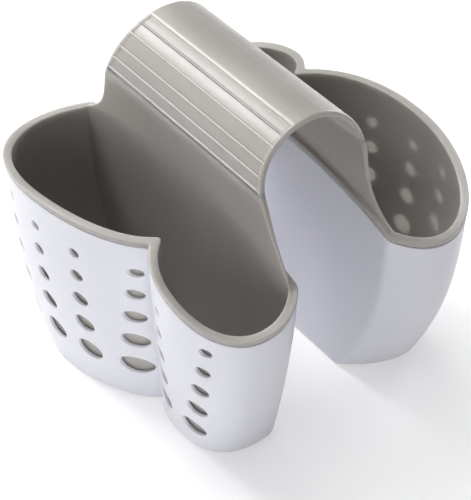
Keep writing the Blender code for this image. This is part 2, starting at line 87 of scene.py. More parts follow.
# Columns along the divider, each corner, the large lobe and the small lobe
FINE_STEPS = (20, 8, 144, 88)
OUTLINE_ANGLES = 1441
SHARP_ANGLE = math.radians(40)

HOLE_ROWS = 5
HOLE_BOTTOM_HEIGHT = 0.0250
HOLE_BOTTOM_DIAMETER = 0.0112
HOLE_TAPER = 0.80
HOLE_WEB = 0.0080
HOLE_EDGE = 0.0005
HOLE_EDGE_TURNS = (30, 60, 90)
HOLE_RING_SHARES = (0.4, 0.75, 1.0)
HOLE_SIDE_MARGIN = 0.0022
HOLE_SEARCH_COLUMNS = 30
HOLE_SEARCH_TRIES = 240
# Columns of holes: which lobe, its place along that wall at the top and at the bottom, its drop
HOLE_COLUMNS = (
    ("large", 0.485, 0.480, 0.0),
    ("large", 0.626, 0.618, 0.0),
    ("large", 0.780, 0.765, 0.0),
    ("large", 0.965, 0.930, 0.0),
    ("small", 0.160, 0.155, 0.0040),
    ("small", 0.470, 0.420, 0.0060),
)
DRAIN_RADIUS = 0.0030
DRAIN_SIDES = 24
DRAIN_CIRCLE_RADIUS = 0.011
SMALL_LOBE_DRAIN = (-0.0354, -0.0320)
LARGE_LOBE_DRAIN_CENTRE = (-0.0455, 0.0350)
DRAINS = [SMALL_LOBE_DRAIN]
DRAINS += [
    (LARGE_LOBE_DRAIN_CENTRE[0] + DRAIN_CIRCLE_RADIUS * math.cos(a),
     LARGE_LOBE_DRAIN_CENTRE[1] + DRAIN_CIRCLE_RADIUS * math.sin(a))
    for a in np.radians((45, 135, 225, 315))
]


def lobe_curve(lobe, inset, angle):
    """Half width * sin ** (2 / exponent) across and reach * cos ** (2 / exponent) along.

    Both keep the sign of their sine or cosine; the curve is then turned and moved to its centre.
    """
    centre_x, centre_y, half_width, rear, front, turn, exponent = lobe
    cosine, sine = np.cos(angle), np.sin(angle)
    reach = np.where(cosine >= 0, rear, front) - inset
    across = -(half_width - inset) * np.sign(sine) * np.abs(sine) ** (2 / exponent)
    along = reach * np.sign(cosine) * np.abs(cosine) ** (2 / exponent)
    turn = math.radians(turn)
    x = centre_x + math.cos(turn) * across - math.sin(turn) * along
    y = centre_y + math.sin(turn) * across + math.cos(turn) * along
    return np.stack([x, y], axis=-1)


def beyond_lobe(lobe, inset, points):
    """Above zero outside the lobe: |across / width| ** exponent + |along / reach| ** exponent - 1.

    Across and along are measured from the lobe's centre in its own turned directions.
    """
    centre_x, centre_y, half_width, rear, front, turn, exponent = lobe
    turn = math.radians(turn)
    dx, dy = points[:, 0] - centre_x, points[:, 1] - centre_y
    across = math.cos(turn) * dx + math.sin(turn) * dy
    along = -math.sin(turn) * dx + math.cos(turn) * dy
    reach = np.where(along >= 0, rear, front) - inset
    return np.abs(across / (half_width - inset)) ** exponent + np.abs(along / reach) ** exponent - 1


def sign_change(values, start, step):
    """Fractional place where values first change sign on the way from start.

    Between the two values that differ in sign it is the place where a straight line is zero.
    """
    index = start
    while values[index] * values[index + step] > 0:
        index += step
    return index + step * values[index] / (values[index] - values[index + step])


def even_walk(line, start, end, count):
    """Points spread evenly by length along a line, leaving out a length at each end."""
    lengths = np.concatenate([[0.0], np.cumsum(np.linalg.norm(np.diff(line, axis=0), axis=1))])
    wanted = np.linspace(start, lengths[-1] - end, count)
    return np.stack([np.interp(wanted, lengths, line[:, axis]) for axis in (0, 1)], axis=-1)


def pocket_outline(large, small, front_radius, inset, steps):
    """Closed outline: divider wall, rear corner, large lobe, notch, small lobe, front corner.

    The lobes' curves are cut where they meet the straight wall and each other, and trimmed there.
    A corner is (1 - s) ** 2 * before + 2 * s * (1 - s) * tip + s ** 2 * after.
    """
    divider_steps, corner_steps, large_steps, small_steps = steps
    divider_x = -(GAP_HALF_WIDTH + inset)
    angles = np.linspace(-math.pi / 2, 1.5 * math.pi, OUTLINE_ANGLES)
    large_line = lobe_curve(large, inset, angles)
    small_line = lobe_curve(small, inset, angles)
    side = int(np.searchsorted(angles, math.pi / 2))
    rear_at = sign_change(large_line[:, 0] - divider_x, side, -1)
    notch_at = sign_change(beyond_lobe(small, inset, large_line), side, 1)
    notch_out_at = sign_change(beyond_lobe(large, inset, small_line), side, -1)
    front_at = sign_change(small_line[:, 0] - divider_x, side, 1)

    def stretch(lobe, first, last):
        places = np.concatenate([[first], np.arange(math.ceil(first + 1e-6), last), [last]])
        return lobe_curve(lobe, inset, np.interp(places, np.arange(len(angles)), angles))

    large_wall = stretch(large, rear_at, notch_at)
    small_wall = stretch(small, notch_out_at, front_at)
    rear, front = large_wall[0], small_wall[-1]
    notch = (large_wall[-1] + small_wall[0]) / 2
    rear_trim, front_trim = (
        CORNER_TRIM * max(radius - inset, SMALLEST_CORNER_RADIUS)
        for radius in (CORNER_RADIUS, front_radius))
    notch_trim = NOTCH_TRIM * (NOTCH_RADIUS + inset / 2)
    divider = even_walk(np.array([front, rear]), front_trim, rear_trim, divider_steps + 1)
    large_part = even_walk(large_wall, rear_trim, notch_trim, large_steps + 1)
    small_part = even_walk(small_wall, notch_trim, front_trim, small_steps + 1)
    share = np.linspace(0, 1, corner_steps + 1)[1:-1, None]

    def corner(before, tip, after):
        return (1 - share) ** 2 * before + 2 * share * (1 - share) * tip + share**2 * after

    return np.concatenate([
        divider,
        corner(divider[-1], rear, large_part[0]),
        large_part,
        corner(large_part[-1], notch, small_part[0]),
        small_part,
        corner(small_part[-1], front, divider[0]),
    ])


def rim_height(x, y):
    """An arch along the divider that falls away from it, with a twist between the two ends.

    Crest - (y - crest y) ** 2 / (2 * arch radius) - away * fall
    + (away - twist centre) * twist * y, away being the distance from the divider wall.
    """
    away = -x - GAP_HALF_WIDTH
    fall = (y - RIM_CREST_Y) ** 2 / (2 * RIM_ARCH_RADIUS) + away * RIM_FALL
    return RIM_CREST - fall + (away - RIM_TWIST_CENTRE) * RIM_TWIST * y


def wall_plan(inset, steps):
    """One row per column: floor x and y, rim x and y, rim height and bulge.

    The bulge runs straight between marks on the large lobe, at the notch and on the small lobe.
    """
    floor_line = pocket_outline(FLOOR_LARGE, FLOOR_SMALL, FRONT_FLOOR_CORNER_RADIUS, inset, steps)
    rim_line = pocket_outline(RIM_LARGE, RIM_SMALL, CORNER_RADIUS, inset, steps)
    outer = pocket_outline(RIM_LARGE, RIM_SMALL, CORNER_RADIUS, 0.0, steps)
    divider_steps, corner_steps, large_steps, small_steps = steps
    large_start = divider_steps + corner_steps
    notch_start = large_start + large_steps
    small_start = notch_start + corner_steps
    marks = [0, divider_steps, (large_start + notch_start) / 2, notch_start,
             small_start + small_steps * NOTCH_BULGE_FADE, len(outer)]
    bulges = [SMALL_BULGE, LARGE_BULGE, LARGE_BULGE, NOTCH_BULGE, SMALL_BULGE, SMALL_BULGE]
    bulge = np.interp(np.arange(len(outer)), marks, bulges)
    return np.column_stack([floor_line, rim_line, rim_height(outer[:, 0], outer[:, 1]), bulge])


def wall_points(plan, height):
    """The floor outline moved towards the rim outline by 1 - (1 - height / rim height) ** bulge."""
    share = np.clip(height / plan[..., 4], 0, 1)
    move = (1 - (1 - share) ** plan[..., 5])[..., None]
    level = plan[..., 0:2] * (1 - move) + plan[..., 2:4] * move
    return np.concatenate([level, np.broadcast_to(height, share.shape)[..., None]], axis=-1)


def between_columns(plan, column):
    """The plan at fractional columns, by straight interpolation round the pocket."""
    low = np.floor(column).astype(int)
    share = (column - low)[..., None]
    count = len(plan)
    return plan[low % count] * (1 - share) + plan[(low + 1) % count] * share


def column_of(plan, y, height, first, last):
    """Column between first and last where the wall at each height has each y; y falls along it."""
    tries = np.linspace(first, last, HOLE_SEARCH_TRIES)
    found = wall_points(between_columns(plan, tries)[None], height[:, None])[..., 1]
    return np.array([np.interp(-wanted, -row, tries) for wanted, row in zip(y, found)])


def grid_faces(rows, columns):
    """Corner indices of the quads between neighbouring rows; the last column meets the first."""
    row, column = np.meshgrid(np.arange(rows - 1), np.arange(columns), indexing="ij")
    after = (column + 1) % columns
    return np.stack([row * columns + column, row * columns + after,
                     (row + 1) * columns + after, (row + 1) * columns + column], axis=-1)


def ring_faces(first, second):
    """Quads between two closed loops of vertex indices of one length."""
    return np.stack([first, np.roll(first, -1), np.roll(second, -1), second], axis=-1)


def hole_list(steps):
    """Column, height and radius of each side hole, on straight columns that lean along the wall.

    Each hole upwards is smaller by the taper and stands a web away from the one below it.
    """
    divider_steps, corner_steps, large_steps, small_steps = steps
    large_start = divider_steps + corner_steps
    starts = {"large": (large_start, large_steps),
              "small": (large_start + large_steps + corner_steps, small_steps)}
    holes = []
    for lobe, top, bottom, drop in HOLE_COLUMNS:
        height, diameter = HOLE_BOTTOM_HEIGHT, HOLE_BOTTOM_DIAMETER
        start, count = starts[lobe]
        for share in np.linspace(bottom, top, HOLE_ROWS):
            holes.append((start + count * share, height - drop, diameter / 2))
            height += diameter * (1 + HOLE_TAPER) / 2 + HOLE_WEB
            diameter *= HOLE_TAPER
    return holes


def pierce(corners, points, faces, kept, plans, hole):
    """Leave out a block of both walls' grids round a hole and fill it with rings.

    The rings go from the block's edge to a circle in the plane across X, carried onto the wall,
    and roll into the hole over a quarter circle.
    """
    outer_plan = plans[0]
    rows, columns = corners.shape[1:]
    at_column, height, radius = hole
    centre = wall_points(between_columns(outer_plan, np.array([at_column])), np.array([height]))
    centre_y = centre[0, 1]
    near = int(round(at_column))
    search = (near - HOLE_SEARCH_COLUMNS, near + HOLE_SEARCH_COLUMNS)
    row_heights = points[corners[0, :, near % columns], 2]
    reach = radius + HOLE_WEB / 2
    low_row = max(1, int(np.argmin(np.abs(row_heights - (height - reach)))))
    high_row = min(rows - 2, int(np.argmin(np.abs(row_heights - (height + reach)))))
    side = column_of(
        outer_plan, np.array([1, -1]) * (radius + HOLE_SIDE_MARGIN) + centre_y,
        np.array([height, height]), *search)
    left, right = int(math.floor(side[0])), int(math.ceil(side[1]))
    across, up = np.arange(left, right + 1), np.arange(low_row, high_row + 1)
    assert kept[low_row:high_row, np.arange(left, right) % columns].all(), "hole blocks overlap"
    kept[low_row:high_row, np.arange(left, right) % columns] = False
    loop_columns = np.concatenate([across[:-1], np.full(len(up) - 1, right), across[:0:-1],
                                   np.full(len(up) - 1, left)])
    loop_rows = np.concatenate([np.full(len(across) - 1, low_row), up[:-1],
                                np.full(len(across) - 1, high_row), up[:0:-1]])
    circles = []
    for surface, plan in enumerate(plans):
        loop = corners[surface, loop_rows, loop_columns % columns]
        edge = points[loop]
        if surface == 0:
            angle = np.arctan2(edge[:, 2] - height, edge[:, 1] - centre_y)
        circle_y = centre_y + np.cos(angle) * (radius + HOLE_EDGE)
        circle_z = height + np.sin(angle) * (radius + HOLE_EDGE)
        circle_column = column_of(plan, circle_y, circle_z, *search)
        rings = [loop]
        for share in HOLE_RING_SHARES:
            column = loop_columns * (1 - share) + circle_column * share
            level = edge[:, 2] * (1 - share) + circle_z * share
            rings.append(wall_points(between_columns(plan, column), level))
        circles.append(rings)
    outer_rim, inner_rim = circles[0][-1], circles[1][-1]
    rolled = []
    for rim, direction in ((outer_rim, 1), (inner_rim, -1)):
        for turn in np.radians(HOLE_EDGE_TURNS):
            ring = rim.copy()
            shrink = radius + HOLE_EDGE * (1 - math.sin(turn))
            ring[:, 1] = centre_y + np.cos(angle) * shrink
            ring[:, 2] = height + np.sin(angle) * shrink
            ring[:, 0] += direction * HOLE_EDGE * (1 - math.cos(turn))
            rolled.append(ring)
    turns = len(HOLE_EDGE_TURNS)
    chain = circles[0][1:] + rolled[:turns] + rolled[:turns - 1:-1] + circles[1][:0:-1]
    start = len(points)
    points = np.concatenate([points, *chain])
    size = len(angle)
    loops = [circles[0][0]]
    loops += [start + size * number + np.arange(size) for number in range(len(chain))]
    loops.append(circles[1][0])
    faces += [ring_faces(first, second) for first, second in zip(loops, loops[1:])]
    return points


def solid_object(name, points, quads):
    """Mesh from points and quads, with unused points left out."""
    used, quads = np.unique(quads, return_inverse=True)
    data = bpy.data.meshes.new(name)
    data.from_pydata(points[used], [], quads.reshape(-1, 4).tolist())
    piece = bpy.data.objects.new(name, data)
    bpy.context.scene.collection.objects.link(piece)
    return piece


def close_floors(piece, low, high):
    """Fill the two open floor outlines, leaving the round drains open, and line each drain."""
    shape = bmesh.new()
    shape.from_mesh(piece.data)
    turns = np.linspace(0, 2 * math.pi, DRAIN_SIDES, endpoint=False)
    circle = DRAIN_RADIUS * np.column_stack([np.cos(turns), np.sin(turns)])
    rims = {}
    for level in (low, high):
        edges = [e for e in shape.edges
                 if e.is_boundary and abs(e.verts[0].co.z - level) < FLOOR_LEVEL_SLACK]
        rims[level] = []
        for x, y in DRAINS:
            ring = [shape.verts.new((x + across, y + along, level)) for across, along in circle]
            edges += [shape.edges.new((a, b)) for a, b in zip(ring, ring[1:] + ring[:1])]
            rims[level].append(ring)
        bmesh.ops.triangle_fill(shape, use_beauty=True, edges=edges)
    for lower, upper in zip(rims[low], rims[high]):
        for a, b, c, d in zip(lower, lower[1:] + lower[:1], upper[1:] + upper[:1], upper):
            shape.faces.new([a, b, c, d])
    bmesh.ops.recalc_face_normals(shape, faces=shape.faces)
    shape.to_mesh(piece.data)
    shape.free()
    piece.data.shade_smooth()
    piece.data.set_sharp_from_angle(angle=SHARP_ANGLE)


def turned_copy(piece, name):
    """The same moulding turned half a turn about Z: x and y change sign."""
    data = piece.data.copy()
    places = np.empty(len(data.vertices) * 3)
    data.vertices.foreach_get("co", places)
    data.vertices.foreach_set("co", (places.reshape(-1, 3) * (-1, -1, 1)).ravel())
    data.update()
    copy = bpy.data.objects.new(name, data)
    bpy.context.scene.collection.objects.link(copy)
    return copy


def white_cup(name):
    """Rows up the outer wall, over the lip and down the inner wall, with its holes rolled in."""
    plans = (wall_plan(0.0, FINE_STEPS), wall_plan(CUP_WALL, FINE_STEPS))
    columns = len(plans[0])
    top = plans[0][:, 4] - CUP_TOP_DROP
    share = np.linspace(0, 1, CUP_ROWS)[:, None]
    outer_low, lip_low = CUP_FOOT_RADIUS, top - CUP_LIP_RADIUS
    outer = wall_points(plans[0], outer_low + (lip_low - outer_low) * share)
    inner = wall_points(plans[1], CUP_FLOOR + (lip_low - CUP_FLOOR) * share)
    foot = []
    for turn in np.radians(CUP_FOOT_TURNS):
        inset = CUP_FOOT_RADIUS * (1 - math.cos(turn))
        height = np.full(columns, CUP_FOOT_RADIUS * (1 - math.sin(turn)))
        foot.append(wall_points(wall_plan(inset, FINE_STEPS), height))
    lip = []
    for turn, side in CUP_LIP_TURNS:
        inset = CUP_LIP_RADIUS * (1 - math.cos(math.radians(turn)))
        inset = CUP_WALL - inset if side else inset
        height = top - CUP_LIP_RADIUS * (1 - math.sin(math.radians(turn)))
        lip.append(wall_points(wall_plan(inset, FINE_STEPS), height))
    stack = np.stack([*foot, *outer, *lip, *inner[::-1]])
    points = stack.reshape(-1, 3)
    order = np.arange(len(points)).reshape(len(stack), columns)
    outer_index = order[len(foot):len(foot) + CUP_ROWS]
    inner_index = order[len(foot) + CUP_ROWS + len(lip):][::-1]
    kept = np.ones((CUP_ROWS - 1, columns), bool)
    corners = np.stack([outer_index, inner_index])
    faces = []
    for hole in hole_list(FINE_STEPS):
        points = pierce(corners, points, faces, kept, plans, hole)
    quads = grid_faces(len(stack), columns)
    outer_kept = np.ones(quads.shape[:2], bool)
    outer_kept[len(foot):len(foot) + CUP_ROWS - 1] = kept
    outer_kept[len(foot) + CUP_ROWS + len(lip):] = kept[::-1]
    cup = solid_object(name, points, np.concatenate([quads[outer_kept], *faces]))
    close_floors(cup, 0.0, CUP_FLOOR)
    return cup


CLOUD_SCALE = 34.0
GLOSS_SCALE = 190.0
CLOUD_DETAIL = 3.0
SKIN_SCALE = 300.0
SKIN_DETAIL = 1.0
SKIN_STRENGTH = 0.12
SKIN_HEIGHT = 0.00003
NOISE_SPAN = (0.3, 0.7)
PLASTIC_IOR = 1.49
PLASTIC_SCATTER = (1.0, 0.95, 0.9)
WHITE_LIGHT = (0.83, 0.83, 0.900)
WHITE_DARK = (0.81, 0.81, 0.885)
WHITE_ROUGHNESS = (0.31, 0.36)
WHITE_BODY = 0.50
WHITE_DEPTH = 0.0030


def noise_on_piece(nodes, links, scale, detail):
    """Noise on Object coordinates, so that it stays with the piece."""
    coordinates = nodes.new("ShaderNodeTexCoord")
    noise = nodes.new("ShaderNodeTexNoise")
    noise.inputs["Scale"].default_value = scale
    noise.inputs["Detail"].default_value = detail
    links.new(coordinates.outputs["Object"], noise.inputs["Vector"])
    return noise.outputs["Fac"]


def noise_between(nodes, links, scale, low, high):
    """Soft noise whose usual span is spread between two values."""
    spread = nodes.new("ShaderNodeMapRange")
    spread.inputs["From Min"].default_value, spread.inputs["From Max"].default_value = NOISE_SPAN
    spread.inputs["To Min"].default_value = low
    spread.inputs["To Max"].default_value = high
    links.new(noise_on_piece(nodes, links, scale, CLOUD_DETAIL), spread.inputs["Value"])
    return spread.outputs["Result"]


def moulded_plastic(name, light, dark, roughness, body, depth):
    """Moulded plastic: faint clouds in its colour, uneven gloss, a fine skin, light inside it."""
    material = bpy.data.materials.new(name)
    material.use_nodes = True
    nodes, links = material.node_tree.nodes, material.node_tree.links
    shader = nodes["Principled BSDF"]
    mix = nodes.new("ShaderNodeMix")
    mix.data_type = "RGBA"
    mix.inputs["A"].default_value = (*dark, 1.0)
    mix.inputs["B"].default_value = (*light, 1.0)
    links.new(noise_between(nodes, links, CLOUD_SCALE, 0.0, 1.0), mix.inputs["Factor"])
    links.new(mix.outputs["Result"], shader.inputs["Base Color"])
    links.new(noise_between(nodes, links, GLOSS_SCALE, *roughness), shader.inputs["Roughness"])
    bump = nodes.new("ShaderNodeBump")
    bump.inputs["Strength"].default_value = SKIN_STRENGTH
    bump.inputs["Distance"].default_value = SKIN_HEIGHT
    links.new(noise_on_piece(nodes, links, SKIN_SCALE, SKIN_DETAIL), bump.inputs["Height"])
    links.new(bump.outputs["Normal"], shader.inputs["Normal"])
    shader.inputs["IOR"].default_value = PLASTIC_IOR
    shader.inputs["Subsurface Weight"].default_value = body
    shader.inputs["Subsurface Radius"].default_value = PLASTIC_SCATTER
    shader.inputs["Subsurface Scale"].default_value = depth
    return material


polypropylene = moulded_plastic(
    "white_polypropylene", WHITE_LIGHT, WHITE_DARK, WHITE_ROUGHNESS, WHITE_BODY, WHITE_DEPTH)
left_cup = white_cup("left_white_cup")
right_cup = turned_copy(left_cup, "right_white_cup")
for cup, body, node in (
        (left_cup, "left_pocket", "left_shell"), (right_cup, "right_pocket", "right_shell")):
    cup.data.materials.append(polypropylene)
    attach(cup, body)
    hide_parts(node)


# Grey liners and legs
# One soft grey elastomer moulding lines both pockets, laps over each cup with a flat-topped rim
# and rises on the divider walls as the saddle's legs. Its rim was trimmed by hand at the notch.

LINER_INSET = 0.0021
POCKET_INSET = 0.0033
LINER_BOTTOM = 0.0023
POCKET_FLOOR = 0.0043
RIM_OVERHANG = 0.0002
RIM_DEPTH = 0.0025
LINER_STEPS = (14, 5, 36, 24)
ROUNDING_LEVELS = 2
# Rows of the control mesh: shares up the outside and down the inside, inset and drop at the rim
OUTSIDE_SHARES = (0, 0.12, 0.3, 0.5, 0.7, 0.88, 0.97, 1.0)
INSIDE_SHARES = (1.0, 0.88, 0.72, 0.56, 0.4, 0.25, 0.12, 0.04, 0.0)
OUTER_RIM_ROWS = ((0.0003, RIM_DEPTH), (-RIM_OVERHANG, RIM_DEPTH - 0.0003),
                  (-RIM_OVERHANG, 0.0006), (0.0001 - RIM_OVERHANG, 0.0001),
                  (0.0005 - RIM_OVERHANG, 0.0))
INNER_RIM_ROWS = ((POCKET_INSET - 0.0004, 0.0), (POCKET_INSET - 0.00005, 0.0001),
                  (POCKET_INSET, 0.0006), (POCKET_INSET, 0.0026))
INNER_RIM_DEPTH = 0.0045
# Rows over the rim: share of its width, and share of the leg's thickness where the leg stands
RIM_TOP_ROWS = ((0.28, 0.0), (0.42, 0.1), (0.56, 0.5), (0.72, 0.9))
LEG_MEETS_POCKET = 0.0006
LEG_MEETS_POCKET_SHARE = 0.7
LEG_BLEND_COLUMNS = 3
# The liner's rounded foot outside, and inset and rise of the rows round the pocket's floor
OUTER_FOOT_RADIUS = 0.001
POCKET_FLOOR_ROWS = ((0.0, 0.0012), (0.0004, 0.0003), (0.0012, 0.0))

STRAP_BASE = 0.1240
STRAP_INNER = 0.0231
STRAP_THICKNESS = 0.0024
STRAP_RISE = 0.0223
STRAP_HALF_LENGTH = 0.0435
# Flare and exponent of the strap's end over a large lobe and over a small lobe
LARGE_END = (0.0136, 2.3)
SMALL_END = (0.0215, 3.2)
STRAP_ARCH_SHARE = 0.70
STRAP_LEG = 0.0300
STRAP_SHARES = np.array([1, 0.990, 0.974, 0.964, 0.88, 0.60, 0.30])
STRAP_SHARES = np.concatenate([-STRAP_SHARES, [0], STRAP_SHARES[::-1]])
# How far the strap's two faces stop short of its ends, and the rows round an end:
# share of the thickness and push outwards
GAP_FACE_SHORT = 0.0003
RIB_FACE_SHORT = 0.0009
END_SHARES = np.array([0.10, 0.50, 0.90])
END_PUSHES = np.array([0.0001, 0.0002, -0.0001])
RIB_DEPTH = 0.0006
RIB_END_SHARE = 0.98
SEAM_DIP = 0.0003
LEG_FILLET_POWER = 4
SEAM_DEGREES = 80.4
# Rows of the leg between the flex line and the seam: degrees from the crown, and dip
LEG_TOP_ROWS = ((84.5, 0.0), (82.0, SEAM_DIP / 2), (SEAM_DEGREES, SEAM_DIP))
LEG_ROWS = 9
GREY_LIGHT = (0.385, 0.370, 0.351)
GREY_DARK = (0.362, 0.348, 0.331)
GREY_ROUGHNESS = (0.32, 0.38)
GREY_BODY = 1.0
GREY_DEPTH = 0.006


def strap_reach(place, over_large_lobe):
    """Half length at the crown plus flare * place ** exponent.

    Place is the share of the way from the crown to the leg's foot.
    """
    large = LARGE_END[0] * place ** LARGE_END[1]
    small = SMALL_END[0] * place ** SMALL_END[1]
    return STRAP_HALF_LENGTH + np.where(over_large_lobe, large, small)


def arch_ring(degrees, dip):
    """Loop round the strap at an angle from the crown: along the gap side, round the rear end,
    back along the ribbed side and round the front end.

    x is (inner half width + out) * sin and z is base + (rise + out) * cos, where out is 0 on the
    gap side and the strap's thickness less the dip on the ribbed side.
    """
    angle = math.radians(degrees)
    place = STRAP_ARCH_SHARE * abs(degrees) / 90
    shares = STRAP_SHARES
    reach = strap_reach(place, shares * degrees < 0)
    gap_y, rib_y = shares * (reach - GAP_FACE_SHORT), shares * (reach - RIB_FACE_SHORT)
    rear, front = reach[-1] + END_PUSHES, -reach[0] - END_PUSHES[::-1]
    dips = np.where(np.abs(shares) < RIB_END_SHARE, dip, 0.0)
    y = np.concatenate([gap_y, rear, rib_y[::-1], front])
    out = np.concatenate([0 * gap_y, END_SHARES * STRAP_THICKNESS, (STRAP_THICKNESS - dips)[::-1],
                          END_SHARES[::-1] * STRAP_THICKNESS])
    x = (STRAP_INNER + out) * math.sin(angle)
    z = STRAP_BASE + (STRAP_RISE + out) * math.cos(angle)
    return np.column_stack([x, y, z])


def smooth_solid(name, points, faces, sharp_loops):
    """Control mesh rounded by subdivision and kept as its final mesh."""
    data = bpy.data.meshes.new(name)
    data.from_pydata(points, [], faces)
    shape = bmesh.new()
    shape.from_mesh(data)
    shape.verts.ensure_lookup_table()
    crease = shape.edges.layers.float.new("crease_edge")
    for loop in sharp_loops:
        for a, b in zip(loop, loop[1:] + loop[:1]):
            shape.edges.get((shape.verts[a], shape.verts[b]))[crease] = 1.0
    loose = [v for v in shape.verts if not v.link_faces]
    bmesh.ops.delete(shape, geom=loose, context="VERTS")
    bmesh.ops.recalc_face_normals(shape, faces=shape.faces)
    shape.to_mesh(data)
    shape.free()
    piece = bpy.data.objects.new(name, data)
    bpy.context.scene.collection.objects.link(piece)
    smooth = piece.modifiers.new("rounding", "SUBSURF")
    smooth.levels = ROUNDING_LEVELS
    smooth.render_levels = ROUNDING_LEVELS
    ready = piece.evaluated_get(bpy.context.evaluated_depsgraph_get())
    final = bpy.data.meshes.new_from_object(ready)
    piece.modifiers.clear()
    piece.data = final
    final.shade_smooth()
    final.set_sharp_from_angle(angle=SHARP_ANGLE)
    return piece


def grey_liner(name):
    """Rows up the outside, over the rim and down the inside; the divider's columns rise as the leg.

    Next to the leg a row is a smoothstep blend of its place at the leg and its place on the rim.
    A leg's row lies on the straight line from its foot to the strap's base; the foot's flare
    along y fades as (1 - climb) ** fillet power.
    """
    divider_steps, corner_steps = LINER_STEPS[:2]
    rim = wall_plan(0.0, LINER_STEPS)[:, 4]
    count = len(rim)
    column = np.arange(count)
    past_end = np.minimum(np.maximum(column - divider_steps, 0), count - column)
    past_end[:divider_steps + 1] = 0
    blend = np.clip(past_end / (corner_steps + LEG_BLEND_COLUMNS), 0, 1)
    blend = blend * blend * (3 - 2 * blend)

    def ring(inset, height, leg_inset=None, leg_height=None):
        there = wall_points(wall_plan(inset, LINER_STEPS), np.broadcast_to(height, count))
        if leg_inset is None:
            return there
        at_leg = wall_points(wall_plan(leg_inset, LINER_STEPS), np.broadcast_to(leg_height, count))
        at_leg[:, 2] = leg_height
        return at_leg * (1 - blend[:, None]) + there * blend[:, None]

    skin_low = LINER_BOTTOM + OUTER_FOOT_RADIUS
    rows = [ring(LINER_INSET + OUTER_FOOT_RADIUS, LINER_BOTTOM)]
    rows += [ring(LINER_INSET, skin_low + (rim - RIM_DEPTH - skin_low) * share)
             for share in OUTSIDE_SHARES]
    rows += [ring(inset, rim - drop) for inset, drop in OUTER_RIM_ROWS]
    width = POCKET_INSET + RIM_OVERHANG
    gap_row = len(rows)
    for share, leg_share in RIM_TOP_ROWS:
        leg_inset = LINER_INSET + (POCKET_INSET - LINER_INSET) * leg_share
        rows.append(ring(share * width - RIM_OVERHANG, rim, leg_inset, rim))
    pocket_row = len(rows)
    for inset, drop in INNER_RIM_ROWS:
        leg_height = rim - drop * LEG_MEETS_POCKET_SHARE + LEG_MEETS_POCKET
        rows.append(ring(inset, rim - drop, POCKET_INSET, leg_height))
    skin_low = POCKET_FLOOR + POCKET_FLOOR_ROWS[0][1]
    rows += [ring(POCKET_INSET, skin_low + (rim - INNER_RIM_DEPTH - skin_low) * share)
             for share in INSIDE_SHARES]
    rows += [ring(POCKET_INSET + inset, np.full(count, POCKET_FLOOR + rise))
             for inset, rise in POCKET_FLOOR_ROWS[1:]]
    points = np.stack(rows).reshape(-1, 3)
    quads = grid_faces(len(rows), count)
    keep = np.ones(quads.shape[:2], bool)
    keep[gap_row:pocket_row, :divider_steps] = False
    faces = quads[keep].reshape(-1, 4).tolist()

    order = np.arange(len(points)).reshape(len(rows), count)
    width_columns = divider_steps + 1
    gap_foot, pocket_foot = rows[gap_row][:width_columns], rows[pocket_row][:width_columns]
    middle_rows = order[gap_row + 1:pocket_row]
    foot = np.concatenate([order[gap_row, :width_columns], middle_rows[:, divider_steps],
                           order[pocket_row, :width_columns][::-1], middle_rows[::-1, 0]])
    loops = [foot]
    rings = []
    for step in range(1, LEG_ROWS + 1):
        climb = step / LEG_ROWS
        height = gap_foot[:, 2] + (STRAP_BASE - gap_foot[:, 2]) * climb
        place, place_at_foot = (
            STRAP_ARCH_SHARE + (1 - STRAP_ARCH_SHARE) * (STRAP_BASE - level) / STRAP_LEG
            for level in (height, gap_foot[:, 2]))
        reach = strap_reach(place, STRAP_SHARES > 0)
        reach_at_foot = strap_reach(place_at_foot, STRAP_SHARES > 0)
        miss = (1 - climb) ** LEG_FILLET_POWER
        gap_y = STRAP_SHARES * (reach - GAP_FACE_SHORT)
        gap_y += (gap_foot[:, 1] - STRAP_SHARES * (reach_at_foot - GAP_FACE_SHORT)) * miss
        pocket_y = STRAP_SHARES * (reach - RIB_FACE_SHORT)
        pocket_y += (pocket_foot[:, 1] - STRAP_SHARES * (reach_at_foot - RIB_FACE_SHORT)) * miss
        gap_x = gap_foot[:, 0] + (-STRAP_INNER - gap_foot[:, 0]) * climb
        pocket_x = pocket_foot[:, 0] + (-STRAP_INNER - STRAP_THICKNESS - pocket_foot[:, 0]) * climb
        gap = np.column_stack([gap_x, gap_y, height])
        pocket = np.column_stack([pocket_x, pocket_y, height])
        ends = []
        for end in (-1, 0):
            outward = -1 if end == 0 else 1
            thick = pocket[end] - gap[end]
            tip = gap[end, 1] + outward * GAP_FACE_SHORT
            for share, push in zip(END_SHARES, END_PUSHES):
                place = gap[end] + thick * share
                place[1] = tip + outward * push
                ends.append(place)
        rings.append(np.concatenate([gap, ends[:3], pocket[::-1], ends[:2:-1]]))
    rings += [arch_ring(-degrees, dip) for degrees, dip in LEG_TOP_ROWS]
    start = len(points)
    points = np.concatenate([points, *rings])
    size = len(foot)
    loops += [start + size * number + np.arange(size) for number in range(len(rings))]
    for lower, upper in zip(loops, loops[1:]):
        faces += ring_faces(lower, upper).tolist()
    faces.append(loops[-1].tolist())
    liner = smooth_solid(name, points, faces, [loops[-1].tolist()])
    close_floors(liner, LINER_BOTTOM, POCKET_FLOOR)
    return liner


elastomer = moulded_plastic(
    "grey_elastomer", GREY_LIGHT, GREY_DARK, GREY_ROUGHNESS, GREY_BODY, GREY_DEPTH)
left_liner = grey_liner("left_grey_liner")
right_liner = turned_copy(left_liner, "right_grey_liner")
for liner, side, direction in ((left_liner, "left", -1), (right_liner, "right", 1)):
    liner.data.materials.append(elastomer)
    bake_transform(liner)
    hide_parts(side + "_liner")


# Ribbed saddle crown
# The top of the same moulding: a plain band over the crown with a rounded step down on each side,
# and thin raised grip ribs along the saddle that stop just short of its rounded ends.

